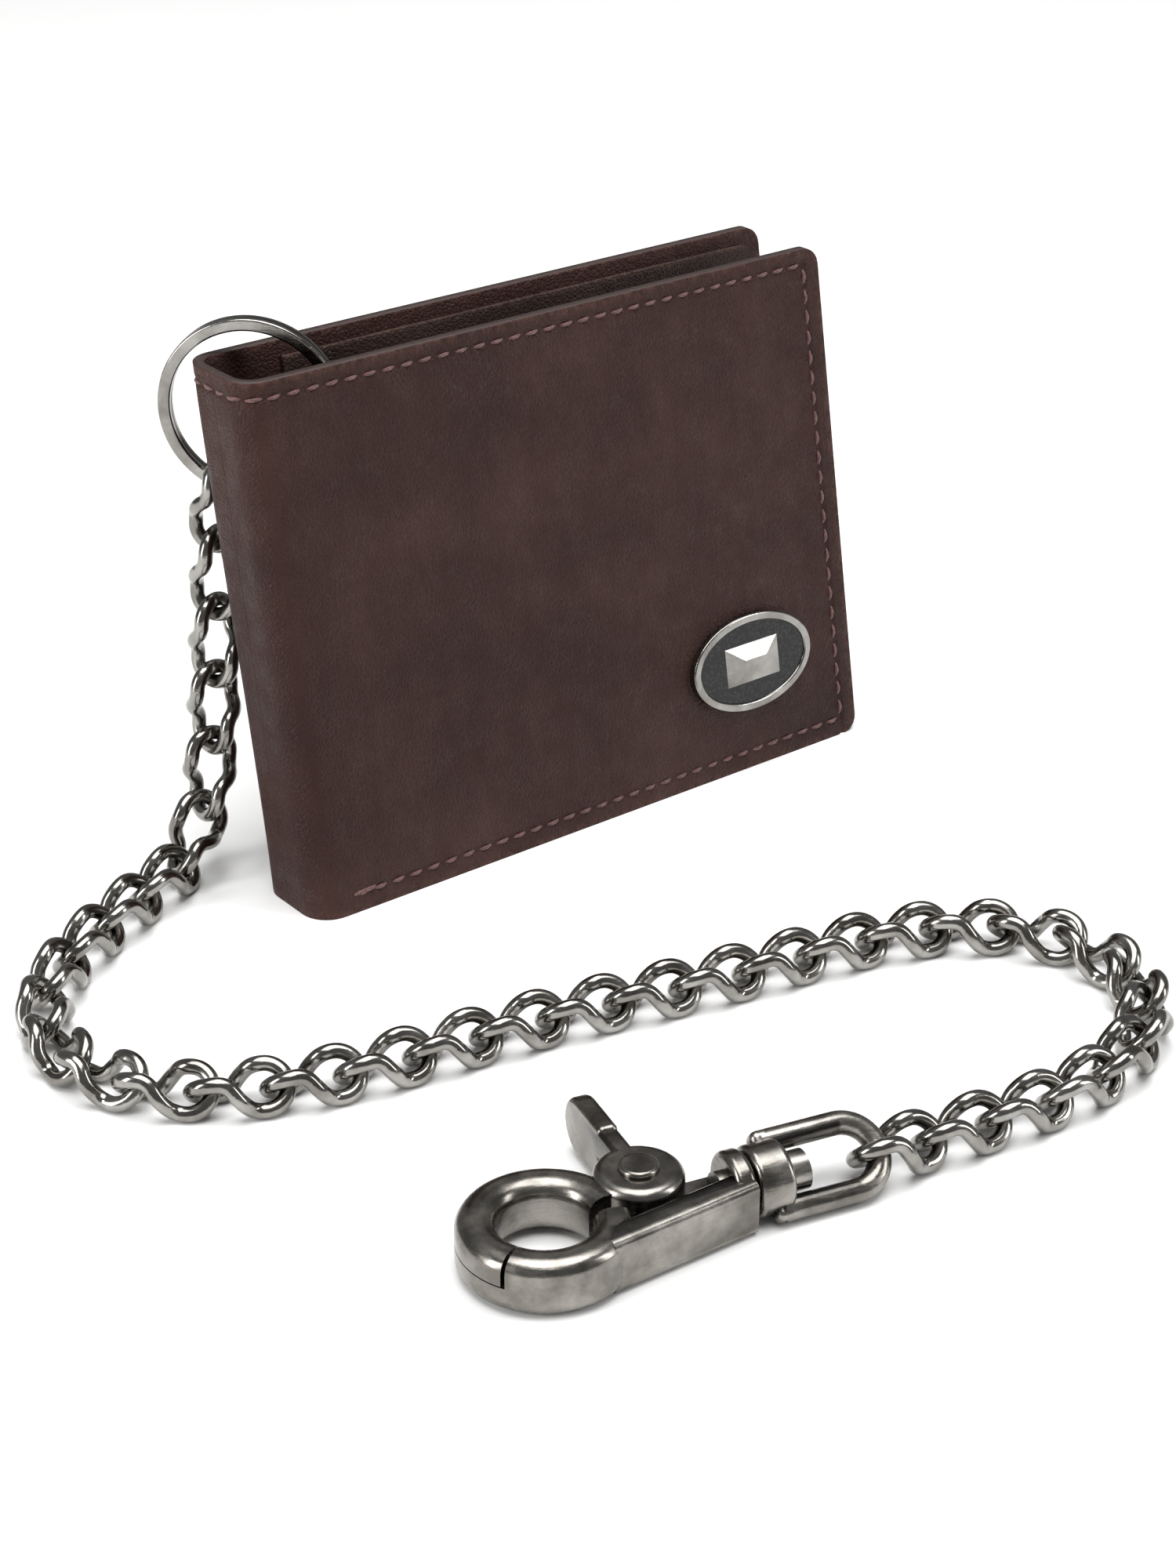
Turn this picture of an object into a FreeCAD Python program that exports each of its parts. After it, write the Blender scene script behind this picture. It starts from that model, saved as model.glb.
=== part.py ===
"""Leather chain wallet: a bifold standing on its lower edges, with a key ring, a curb chain and a snap hook.

Frame: X runs along the front cover from the spine to the open edge, Y runs from the front cover to the
back cover, Z is up. The origin is on the table, in the middle of the foot of the spine. Millimetres.
"""

import FreeCAD, Part
import math
import os

import Sketcher
from FreeCAD import Placement, Rotation, Vector

DIMENSIONS = {
    # the folded wallet, leaning back
    "wallet_length": 118.0,
    "wallet_rise": 87.6,
    "wallet_thick": 17.5,
    "lean_angle": 10.0,
    "leather_thick": 1.8,
    "lining_thick": 0.7,
    "lining_start": 17.0,
    "lining_inset": 2.5,
    "spine_corner": 5.0,
    "spine_reach": 5.1,
    "fold_line": 6.6,
    "fold_gap": 0.05,
    "cover_corner": 3.0,
    # card pockets, three stepped layers in each half
    "pocket_thick": 1.0,
    "pocket_start": 24.0,
    "pocket_inset": 4.0,
    "pocket_foot": 1.6,
    "pocket_tall": 74.0,
    "pocket_step": 13.0,
    # badge on the front cover
    "badge_across": 94.0,
    "badge_up": 19.5,
    "badge_half_wide": 13.5,
    "badge_half_high": 8.7,
    "badge_thick": 1.7,
    "badge_rim": 1.5,
    "badge_sink": 0.7,
    "enamel_thick": 0.35,
    "stud_wide": 12.0,
    "stud_high": 7.0,
    "stud_rise": 1.1,
    "badge_rim_round": 0.3,
    "badge_pin": 1.2,
    "badge_pin_apart": 16.0,
    # eyelet through the back cover
    "eyelet_across": 10.4,
    "eyelet_up": 64.5,
    "eyelet_bore": 3.9,
    "eyelet_wall": 0.4,
    "eyelet_flange": 5.2,
    "flange_thick": 0.4,
    # split ring
    "ring_across": 9.8,
    "ring_back": 28.5,
    "ring_up": 78.5,
    "ring_inner": 13.0,
    "ring_outer": 15.0,
    "ring_width": 2.6,
    "ring_seam": 0.3,
    "ring_round": 0.35,
    "ring_yaw": 45.0,
    "hook_point": -117.0,
    "hook_lift": 2.95,
    # curb chain
    "wire_radius": 1.2,
    "link_length": 14.1,
    "link_width": 7.1,
    "link_twist": 45.0,
    "side_bulge": 1.02,
    "side_lead": 1.6,
    "wire_clearance": 0.08,
    "bend_allowance": 0.0125,
    "laid_slack": 0.36,
    # snap hook, measured along its own axis from the last chain joint
    "axis_height": 5.3,
    "bail_play": 0.33,
    "bail_wire": 1.75,
    "bail_half": 5.0,
    "bail_roll": -40.0,
    "shoulder_long": 3.2,
    "shoulder_share": 0.92,
    "shoulder_round": 1.1,
    "hub_start": 15.0,
    "hub_end": 20.5,
    "hub_radius": 5.2,
    "hub_round": 0.9,
    "post_radius": 1.9,
    "post_gap": 0.06,
    "post_play": 0.3,
    "post_head": 2.9,
    "post_head_thick": 3.0,
    "post_tail": 2.7,
    "post_tail_thick": 1.4,
    "plate_start": 20.8,
    "plate_end": 23.8,
    "pivot_along": 35.0,
    "pivot_aside": -4.0,
    "pivot_radius": 1.9,
    "pivot_head": 2.9,
    "pivot_head_rise": 0.8,
    "pivot_head_round": 0.6,
    "eye_radius": 6.4,
    "eye_top": 9.4,
    "eye_round": 1.5,
    "eye_play": 0.15,
    "hook_along": 50.5,
    "hook_aside": -0.5,
    "hook_inner": 6.6,
    "hook_outer": 12.2,
    "jaw_low": 0.15,
    "arm_low": 0.5,
    "jaw_top": 8.6,
    "half_level": 4.4,
    "lap_gap": 0.2,
    "jaw_round": 2.3,
    "beam_long": 24.0,
    "beam_width": 4.6,
    "beam_angle": 11.0,
    "beam_round": 1.2,
    "floor_inset": 0.5,
    "spring_inner": 2.3,
    "spring_outer": 3.5,
    "spring_tall": 1.6,
    "spring_lift": 0.1,
    "lever_thick": 3.2,
    "lever_length": 22.0,
    "lever_pad": 4.5,
    "lever_middle": 5.4,
    "lever_neck": 12.0,
    "lever_round": 0.9,
    "drill": 20.0,
}

# Turn in degrees from each laid link to the next, in the order the chain lies on the table.
BEND_BY_SPINE = [0, 1, 4, 11, 19, 24, 25, 23, 18, 12, 7, 2]
RUN_IN_FRONT = [-2, -3, -1, 2, 2, -2]
BEND_AT_FAR_END = [-8, -16, -23, -28, -29, -26, -21, -15, -9]
LEAD_TO_CLASP = [-2, 3]
LAID_TURNS = BEND_BY_SPINE + RUN_IN_FRONT + BEND_AT_FAR_END + LEAD_TO_CLASP

# Angles of the jaw's parts about the middle of the hook, from the clasp's own axis.
FIXED_JAW = (41, 165)
FIXED_LAP = (-22, 43)
SWINGING_JAW = (-178, -25)
SWINGING_LAP = (-30, 38)

# The links that hang from the ring: how far each one points down, and its roll about its own length.
HANGING_HEADING = 205.0
HANGING_DIPS = [84, 83, 82, 81, 74, 42]
HANGING_ROLLS = [-58, -48, -38, -28, -18, -8]

# How far each laid or hanging link can turn on its neighbour from where it lies, either way.
LAID_SWING = 9.0
HANGING_SWING = 5.0

# Turn of the clasp's axis from the last link, and the tilt that lifts the last link on to the bail.
CLASP_TURN = -7.0
LAST_LINK_DIP = -6.0

doc = FreeCAD.newDocument("ChainWallet")
sheet = doc.addObject("Spreadsheet::Sheet", "Sizes")
for row, (alias, value) in enumerate(DIMENSIONS.items(), start=1):
    sheet.set(f"A{row}", alias)
    sheet.set(f"B{row}", str(value))
    sheet.setAlias(f"B{row}", alias)
doc.recompute()

NODES = []


def size(alias):
    """The number in one cell of the sheet."""
    return float(sheet.get(alias))


def formula(text):
    """A formula in which each <alias> stands for that cell of the sheet."""
    for alias in DIMENSIONS:
        text = text.replace(f"<{alias}>", f"Sizes.{alias}")
    return text


def bind(item, **formulas):
    """Bind properties of an object to the sheet."""
    for path, text in formulas.items():
        item.setExpression(path, formula(text))
    return item


def piece(item, label):
    """Keep an object as one of the wallet's pieces, under the name of its file."""
    item.Label = label
    NODES.append(item)
    return item


# ------------------------------------------------------------------ solids shared by several pieces


def cylinder(name, place, radius, tall, sector=None):
    """A cylinder, or a sector of one, from formulas for its radius and height."""
    item = bind(doc.addObject("Part::Cylinder", name), Radius=radius, Height=tall)
    if sector is not None:
        item.Angle = sector
    item.Placement = place
    return item


def block(name, place, long, wide, tall):
    """A box from formulas for its three sides."""
    item = bind(doc.addObject("Part::Box", name), Length=long, Width=wide, Height=tall)
    item.Placement = place
    return item


def cut(name, base, tool):
    item = doc.addObject("Part::Cut", name)
    item.Base = base
    item.Tool = tool
    return item


def join(name, *shapes):
    item = doc.addObject("Part::MultiFuse", name)
    item.Shapes = list(shapes)
    item.Refine = True
    return item


def group(name, *shapes):
    item = doc.addObject("Part::Compound", name)
    item.Links = list(shapes)
    return item


def round_edges(name, base, radius, wanted):
    """Round the edges of a solid for which wanted(edge) is true."""
    doc.recompute()
    item = doc.addObject("Part::Fillet", name)
    item.Base = base
    edges = base.Shape.Edges
    item.Edges = [(n, radius, radius) for n, edge in enumerate(edges, start=1) if wanted(edge)]
    return item


# ------------------------------------------------------------------ the leaning leather book

LEAN = math.radians(size("lean_angle"))
LEAN_VECTOR = Vector(0, math.sin(LEAN), math.cos(LEAN))
INTO_COVER = Vector(0, math.cos(LEAN), -math.sin(LEAN))


def on_table(across, depth, height):
    """A point measured from the front corner of the spine."""
    return Vector(across - size("leather_thick") / 2, depth - size("wallet_thick") / 2, height)


def on_cover(across, depth, height):
    """A point of the leaning wallet: across from the spine, depth from the front face, and height."""
    return on_table(across, depth + height * math.tan(LEAN), height)


def plan_sketch(body, name):
    """An empty sketch on the horizontal plane of a body."""
    sketch = body.newObject("Sketcher::SketchObject", name)
    plane = next(f for f in body.Origin.OriginFeatures if f.Role == "XY_Plane")
    sketch.AttachmentSupport = (plane, [""])
    sketch.MapMode = "FlatFace"
    return sketch


def rectangle(sketch, left, right, front, back):
    """A closed rectangle with its four sides bound to formulas."""
    corners = [Vector(1, 1, 0), Vector(30, 1, 0), Vector(30, 5, 0), Vector(1, 5, 0)]
    for k in range(4):
        sketch.addGeometry(Part.LineSegment(corners[k], corners[(k + 1) % 4]))
    for k in range(4):
        sketch.addConstraint(Sketcher.Constraint("Coincident", k, 2, (k + 1) % 4, 1))
    for k in (0, 2):
        sketch.addConstraint(Sketcher.Constraint("Horizontal", k))
        sketch.addConstraint(Sketcher.Constraint("Vertical", k + 1))
    sides = {
        "left": ("DistanceX", 0, left, 1.0),
        "front": ("DistanceY", 0, front, 1.0),
        "right": ("DistanceX", 2, right, 30.0),
        "back": ("DistanceY", 2, back, 5.0),
    }
    for label, (kind, line, text, start) in sides.items():
        index = sketch.addConstraint(Sketcher.Constraint(kind, -1, 1, line, 1, start))
        sketch.renameConstraint(index, label)
        sketch.setExpression(f"Constraints.{label}", formula(text))


def lean_feature(kind, body, sketch, name, rise):
    """A pad or pocket of a plan sketch along the wallet's lean, up to a height."""
    item = body.newObject(f"PartDesign::{kind}", name)
    item.Profile = sketch
    item.UseCustomVector = True
    item.Direction = LEAN_VECTOR
    item.AlongSketchNormal = True
    item.setExpression("Length", formula(rise))
    return item


def rounded(body, name, base, radius, wanted):
    """A PartDesign fillet on the edges for which wanted(edge) is true."""
    doc.recompute()
    edges = base.Shape.Edges
    item = body.newObject("PartDesign::Fillet", name)
    item.Base = (base, [f"Edge{n}" for n, edge in enumerate(edges, start=1) if wanted(edge)])
    item.setExpression("Radius", formula(radius))
    return item


def panel(label, left, right, front, back, rise, foot=0.0):
    """A leather or lining panel with rounded corners at its open edge."""
    body = doc.addObject("PartDesign::Body", label)
    sketch = plan_sketch(body, f"{label}_plan")
    rectangle(sketch, left, right, front, back)
    pad = lean_feature("Pad", body, sketch, f"{label}_pad", rise)
    doc.recompute()
    open_edge = pad.Shape.BoundBox.XMax

    def at_open_corner(edge):
        box = edge.BoundBox
        return box.XMin > open_edge - 0.01 and box.ZLength < 0.01

    rounded(body, f"{label}_corners", pad, "<cover_corner>", at_open_corner)
    body.Placement = Placement(on_cover(0, 0, foot), Rotation())
    return body


def add_knuckle(body, label, depth):
    """The round edge of a cover on the fold line, about which it turns."""
    sketch = plan_sketch(body, f"{label}_knuckle_plan")
    start = Vector(9, 1, 0)
    sketch.addGeometry(Part.Circle(start, Vector(0, 0, 1), 0.8))
    places = [
        ("across", Sketcher.Constraint("DistanceX", -1, 1, 0, 3, start.x), "<fold_line>"),
        ("depth", Sketcher.Constraint("DistanceY", -1, 1, 0, 3, start.y), depth),
        ("radius", Sketcher.Constraint("Radius", 0, 0.8), "<leather_thick> / 2"),
    ]
    for name, constraint, text in places:
        index = sketch.addConstraint(constraint)
        sketch.renameConstraint(index, name)
        sketch.setExpression(f"Constraints.{name}", formula(text))
    lean_feature("Pad", body, sketch, f"{label}_knuckle", "<wallet_rise>")


def rounded_book(name, skin, reach, rise):
    """A leaning block, skin deep below the wallet's outer surface, rounded along the spine."""
    body = doc.addObject("PartDesign::Body", name)
    sketch = plan_sketch(body, f"{name}_plan")
    rectangle(sketch, skin, reach, skin, f"<wallet_thick> - ({skin})")
    pad = lean_feature("Pad", body, sketch, f"{name}_pad", rise)
    doc.recompute()
    near = pad.Shape.BoundBox.XMin

    def along_spine(edge):
        return edge.BoundBox.XMax < near + 0.01 and edge.BoundBox.ZLength > 1

    rounded(body, f"{name}_back", pad, f"<spine_corner> - ({skin})", along_spine)
    return body


def channel(label, skin, thick, reach, foot, rise):
    """A sheet folded round the spine."""
    place = Placement(on_cover(0, 0, foot), Rotation())
    outside = rounded_book(f"{label}_outside", skin, reach, rise)
    inside = rounded_book(f"{label}_inside", f"{skin} + {thick}", f"{reach} + 5", rise)
    outside.Placement = place
    inside.Placement = place
    return cut(label, outside, inside)


def pocket_layers(half, from_front):
    """Three stepped card pockets on the lining of one half."""
    layers = []
    for layer in range(3):
        near = f"<leather_thick> + <lining_thick> + {layer} * <pocket_thick>"
        far = f"<leather_thick> + <lining_thick> + {layer + 1} * <pocket_thick>"
        if not from_front:
            near, far = f"<wallet_thick> - ({far})", f"<wallet_thick> - ({near})"
        right = "<wallet_length> - <pocket_inset>"
        rise = f"<pocket_tall> - {layer} * <pocket_step>"
        label = f"{half}_card_pocket_{layer + 1}"
        layers.append(piece(panel(label, "<pocket_start>", right, near, far, rise, size("pocket_foot")), label))
    return layers


def through_cover(name, face, start, radius, thick):
    """A round solid square to the cover, starting at a distance in from a point of its face."""
    place = Placement(face + INTO_COVER * start, Rotation(Vector(0, 0, 1), INTO_COVER))
    return cylinder(name, place, radius, thick)


def badge_pin(name, side, start, thick):
    """A round solid where one of the badge's pins goes through the cover."""
    across = size("badge_across") + side * size("badge_pin_apart") / 2
    return through_cover(name, on_cover(across, 0, size("badge_up")), start, "<badge_pin>", thick)


def front_half():
    """The cover that opens, its lining and its card pockets."""
    cover = panel(
        "front_leather", "<fold_line>", "<wallet_length>", "0", "<leather_thick>", "<wallet_rise>"
    )
    add_knuckle(cover, "front_leather", "<leather_thick> / 2")
    left = badge_pin("badge_pin_hole_left", -1, -size("leather_thick"), "<drill>")
    right = badge_pin("badge_pin_hole_right", 1, -size("leather_thick"), "<drill>")
    piece(cut("front_cover", cover, group("badge_pin_holes", left, right)), "front_cover")
    lining = panel(
        "front_lining",
        "<lining_start>",
        "<wallet_length> - <lining_inset>",
        "<leather_thick>",
        "<leather_thick> + <lining_thick>",
        "<wallet_rise> - 2 * <lining_inset>",
        size("lining_inset"),
    )
    piece(lining, "front_lining")
    pocket_layers("front", True)


def back_half():
    """The cover that stays, its lining and its card pockets."""
    front, back = "<wallet_thick> - <leather_thick>", "<wallet_thick>"
    near = "<spine_reach> + <fold_gap>"
    cover = panel("back_leather", near, "<wallet_length>", front, back, "<wallet_rise>")
    hole = eyelet_disc("eyelet_hole", -size("drill") / 2, "<eyelet_bore> + <eyelet_wall>", "<drill>")
    piece(cut("back_cover", cover, hole), "back_cover")
    lining = panel(
        "back_lining",
        "<lining_start>",
        "<wallet_length> - <lining_inset>",
        "<wallet_thick> - <leather_thick> - <lining_thick>",
        "<wallet_thick> - <leather_thick>",
        "<wallet_rise> - 2 * <lining_inset>",
        size("lining_inset"),
    )
    piece(lining, "back_lining")
    pocket_layers("back", False)


def spine():
    """The leather round the fold, and the lining inside it."""
    leather = channel("spine_leather", "0", "<leather_thick>", "<spine_reach>", 0, "<wallet_rise>")
    piece(leather, "spine_leather")
    inset = size("lining_inset")
    rise = "<wallet_rise> - 2 * <lining_inset>"
    lining = channel("spine_lining", "<leather_thick>", "<lining_thick>", "<spine_reach>", inset, rise)
    piece(lining, "spine_lining")


# ------------------------------------------------------------------ badge and eyelet


def on_front_face(out, name, half_wide, half_high, thick):
    """An upright oval plate, lying out from the front cover by a distance."""
    outward = INTO_COVER * -1
    centre = on_cover(size("badge_across"), 0, size("badge_up")) + outward * out
    turn = Rotation(Vector(1, 0, 0), LEAN_VECTOR, outward, "ZXY")
    oval = bind(doc.addObject("Part::Ellipse", f"{name}_outline"), MajorRadius=half_wide, MinorRadius=half_high)
    oval.Placement = Placement(centre, turn)
    plate = doc.addObject("Part::Extrusion", name)
    plate.Base = oval
    plate.DirMode = "Custom"
    plate.Dir = outward
    plate.Solid = True
    return bind(plate, LengthFwd=thick)


def badge():
    """An oval plate with a raised rim, an enamel field, a faceted stud and two pins through the cover."""
    top = size("badge_thick") - size("badge_sink")
    wide, high = "<badge_half_wide> - <badge_rim>", "<badge_half_high> - <badge_rim>"
    blank = on_front_face(0, "badge_blank", "<badge_half_wide>", "<badge_half_high>", "<badge_thick>")
    field = on_front_face(top, "badge_field", wide, high, "<badge_thick>")
    outward = INTO_COVER * -1

    def rim_edge(edge):
        return (edge.CenterOfMass - on_cover(0, 0, 0)).dot(outward) > top + size("badge_sink") / 4

    dished = cut("badge_dished", blank, field)
    piece(round_edges("badge_plate", dished, size("badge_rim_round"), rim_edge), "badge_plate")
    piece(on_front_face(top, "badge_enamel", wide, high, "<enamel_thick>"), "badge_enamel")
    stud = bind(
        doc.addObject("Part::Wedge", "badge_stud"),
        Xmin="-<stud_wide> / 2",
        Xmax="<stud_wide> / 2",
        Zmin="-<stud_high> / 2",
        Zmax="<stud_high> / 2",
        X2min="-<stud_wide> / 5",
        X2max="<stud_wide> / 5",
        Z2min="-<stud_high> / 8",
        Z2max="<stud_high> / 8",
        Ymin="0 mm",
        Ymax="<stud_rise>",
    )
    foot = on_cover(size("badge_across"), 0, size("badge_up")) + outward * (top + size("enamel_thick"))
    stud.Placement = Placement(foot, Rotation(Vector(1, 0, 0), outward, LEAN_VECTOR, "YXZ"))
    piece(stud, "badge_stud")
    skin = "<leather_thick> * cos(<lean_angle>)"
    pins = [badge_pin("badge_pin_left", -1, 0, skin), badge_pin("badge_pin_right", 1, 0, skin)]
    piece(group("badge_pins", *pins), "badge_pins")


def eyelet_disc(name, start, radius, thick):
    """A round solid on the eyelet's axis, starting at a distance in from the back cover's inner face."""
    inner = size("wallet_thick") - size("leather_thick")
    face = on_cover(size("eyelet_across"), inner, size("eyelet_up"))
    return through_cover(name, face, start, radius, thick)


def eyelet():
    """A rolled eyelet through the back cover, and the washer that it is set against inside."""
    skin = size("leather_thick") * math.cos(LEAN)
    flange = size("flange_thick")
    wall = "<eyelet_bore> + <eyelet_wall>"
    barrel = eyelet_disc("eyelet_barrel", -flange, wall, "<leather_thick> * cos(<lean_angle>) + <flange_thick>")
    rolled = eyelet_disc("eyelet_flange_disc", skin, "<eyelet_flange>", "<flange_thick>")
    bore = eyelet_disc("eyelet_bore_tool", -size("drill") / 2, "<eyelet_bore>", "<drill>")
    piece(cut("eyelet", join("eyelet_blank", barrel, rolled), bore), "eyelet")
    washer = eyelet_disc("washer_disc", -flange, "<eyelet_flange>", "<flange_thick>")
    hole = eyelet_disc("washer_hole", -size("drill") / 2, wall, "<drill>")
    piece(cut("eyelet_washer", washer, hole), "eyelet_washer")


# ------------------------------------------------------------------ split ring


def ring_axes():
    """The ring's centre, its level direction and its own axis."""
    yaw = math.radians(size("ring_yaw"))
    level = Vector(math.cos(yaw), -math.sin(yaw), 0)
    axis = Vector(math.sin(yaw), math.cos(yaw), 0)
    centre = on_table(size("ring_across"), size("ring_back"), size("ring_up"))
    return centre, level, axis


def split_ring():
    """Two flat turns of steel, one against the other, with a seam between them inside and out."""
    centre, level, axis = ring_axes()
    turn = Rotation(Vector(0, 0, 1), axis)

    def tube(name, outer, inner, wide, shift):
        place = Placement(centre + axis * shift, turn)
        solid = cylinder(f"{name}_solid", place, outer, wide)
        middle = cylinder(f"{name}_middle", place, inner, wide)
        return cut(name, solid, middle)

    half = size("ring_width") / 2
    seam = size("ring_seam") / 2
    whole = tube("ring_whole", "<ring_outer>", "<ring_inner>", "<ring_width>", -half)
    outside = tube("ring_seam_outside", "<ring_outer> + 1", "<ring_outer> - <ring_seam>", "<ring_seam>", -seam)
    inside = tube("ring_seam_inside", "<ring_inner> + <ring_seam>", "<ring_inner> - 1", "<ring_seam>", -seam)

    def rim(edge):
        return abs(edge.CenterOfMass.sub(centre).dot(axis)) > half - 0.01

    softened = round_edges("ring_softened", whole, size("ring_round"), rim)
    piece(cut("split_ring", softened, group("ring_seams", outside, inside)), "split_ring")


# ------------------------------------------------------------------ curb chain


def corner_arc(before, corner, after, reach):
    """The arc that rounds a corner, touching both runs at a distance from it."""
    start = corner + (before - corner).normalize() * reach
    end = corner + (after - corner).normalize() * reach
    bisector = ((start + end) * 0.5 - corner).normalize()
    half_turn = (math.pi - (before - corner).getAngle(after - corner)) / 2
    radius = reach / math.tan(half_turn)
    middle = corner + bisector * (radius / math.cos(half_turn) - radius)
    return Part.Arc(start, middle, end).toShape(), start, end


def link_halves():
    """The two halves of a stadium whose round ends are twisted either way about its length."""
    half_width = size("link_width") / 2
    straight = size("link_length") / 2 - half_width
    twist = math.radians(size("link_twist"))

    def at(along, side, angle):
        return Vector(along, side * half_width * math.cos(angle), side * half_width * math.sin(angle))

    halves = []
    for side in (-1, 1):
        lead = size("side_lead")
        start = at(side * straight, side, side * twist)
        finish = at(-side * straight, side, -side * twist)
        first = start - Vector(side * lead, 0, 0)
        last = finish + Vector(side * lead, 0, 0)
        middle = Vector(0, side * half_width * size("side_bulge"), 0)
        reach = lead * 0.9
        arc_one, a_start, a_end = corner_arc(start, first, middle, reach)
        arc_two, b_start, b_end = corner_arc(first, middle, last, reach)
        arc_three, c_start, c_end = corner_arc(middle, last, finish, reach)
        runs = [(start, a_start), (a_end, b_start), (b_end, c_start), (c_end, finish)]
        lines = [Part.LineSegment(*run).toShape() for run in runs]
        tip = Vector(-side * (straight + half_width), 0, 0)
        round_end = Part.Arc(finish, tip, at(-side * straight, -side, -side * twist)).toShape()
        edges = [lines[0], arc_one, lines[1], arc_two, lines[2], arc_three, lines[3], round_end]
        halves.append((Part.Wire(edges), start, Vector(-side, 0, 0)))
    return halves


def link_pattern():
    """One link of round wire, lying along X and flat on the horizontal plane."""
    tubes = []
    for number, (wire, start, heading) in enumerate(link_halves()):
        path = doc.addObject("Part::Feature", f"link_path_{number}")
        path.Shape = wire
        section = bind(doc.addObject("Part::Circle", f"link_section_{number}"), Radius="<wire_radius>")
        section.Placement = Placement(start, Rotation(Vector(0, 0, 1), heading))
        tube = doc.addObject("Part::Sweep", f"link_half_{number}")
        tube.Sections = [section]
        tube.Spine = (path, [])
        tube.Solid = True
        tubes.append(tube)
    return join("link_pattern", *tubes)


def link_frames():
    """Centre and rotation of each link, and the point between each pair where they turn on each other."""
    headings = [HANGING_HEADING] * len(HANGING_DIPS)
    for turn in LAID_TURNS:
        headings.append(headings[-1] + turn)
    laid = len(LAID_TURNS)
    dips = HANGING_DIPS + [0] * (laid - 1) + [LAST_LINK_DIP]
    rolls = HANGING_ROLLS + [0] * laid
    turns = [
        Rotation(Vector(0, 0, 1), heading) * Rotation(Vector(0, 1, 0), dip) * Rotation(Vector(1, 0, 0), roll)
        for heading, dip, roll in zip(headings, dips, rolls)
    ]
    along = [turn.multVec(Vector(1, 0, 0)) for turn in turns]
    centre, level, _ = ring_axes()
    mid_radius = (size("ring_inner") + size("ring_outer")) / 2
    angle = math.radians(size("hook_point"))
    hook = centre + level * (mid_radius * math.cos(angle)) + Vector(0, 0, mid_radius * math.sin(angle))
    centres = [hook + along[0] * (size("link_length") / 2 - size("hook_lift"))]
    joints = [hook]
    full_reach = size("link_length") - 2 * size("wire_radius") - size("wire_clearance")
    for k in range(1, len(turns)):
        bend = math.degrees(along[k - 1].getAngle(along[k]))
        lying = k >= len(HANGING_DIPS)
        swing = LAID_SWING if lying else HANGING_SWING
        slack = size("laid_slack") if lying else 0
        arm = (full_reach - size("bend_allowance") * (bend + swing) - slack) / 2
        joints.append(centres[-1] + along[k - 1] * arm)
        centres.append(joints[-1] + along[k] * arm)
    for k in range(len(HANGING_DIPS), len(turns)):
        centres[k].z = link_rest_height()
    centres[-1].z -= full_reach / 2 * math.sin(math.radians(LAST_LINK_DIP))
    return centres, turns, joints


def link_rest_height():
    """Height of a laid link's centre, with its twisted ends on the table."""
    low = size("link_width") / 2 * math.sin(math.radians(size("link_twist")))
    return low + size("wire_radius") + 0.02


def chain():
    """Every link in turn, from the ring to the clasp."""
    pattern = link_pattern()
    doc.recompute()
    solid = pattern.Shape.Solids[0]
    centres, turns, _ = link_frames()
    for number, (centre, turn) in enumerate(zip(centres, turns), start=1):
        link = doc.addObject("Part::Feature", f"link_{number}")
        link.Shape = solid.copy()
        link.Placement = Placement(centre, turn)
        piece(link, f"chain_link_{number:02d}")


# ------------------------------------------------------------------ snap hook


def clasp_place():
    """The frame of the clasp: X along its axis from the last chain joint, Z up from the table."""
    centres, turns, _ = link_frames()
    last = turns[-1].multVec(Vector(1, 0, 0))
    wires = size("wire_radius") + size("bail_wire") + size("bail_play")
    joint = centres[-1] + last * (size("link_length") / 2 - wires)
    heading = math.degrees(math.atan2(last.y, last.x)) + CLASP_TURN
    return Placement(Vector(joint.x, joint.y, 0), Rotation(Vector(0, 0, 1), heading))


def in_clasp(along, aside, height, turn=None):
    """A placement given in the clasp's own frame."""
    return CLASP.multiply(Placement(Vector(along, aside, height), turn or Rotation()))


ALONG = Rotation(Vector(0, 0, 1), Vector(1, 0, 0))


def rod(name, along, radius, long):
    """A round solid on the swivel axis."""
    return cylinder(name, in_clasp(along, 0, size("axis_height"), ALONG), radius, long)


def upright(name, height, radius, tall):
    """A round solid on the trigger's pivot."""
    return cylinder(name, in_clasp(size("pivot_along"), size("pivot_aside"), height), radius, tall)


def circular(edge):
    return edge.Closed


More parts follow.
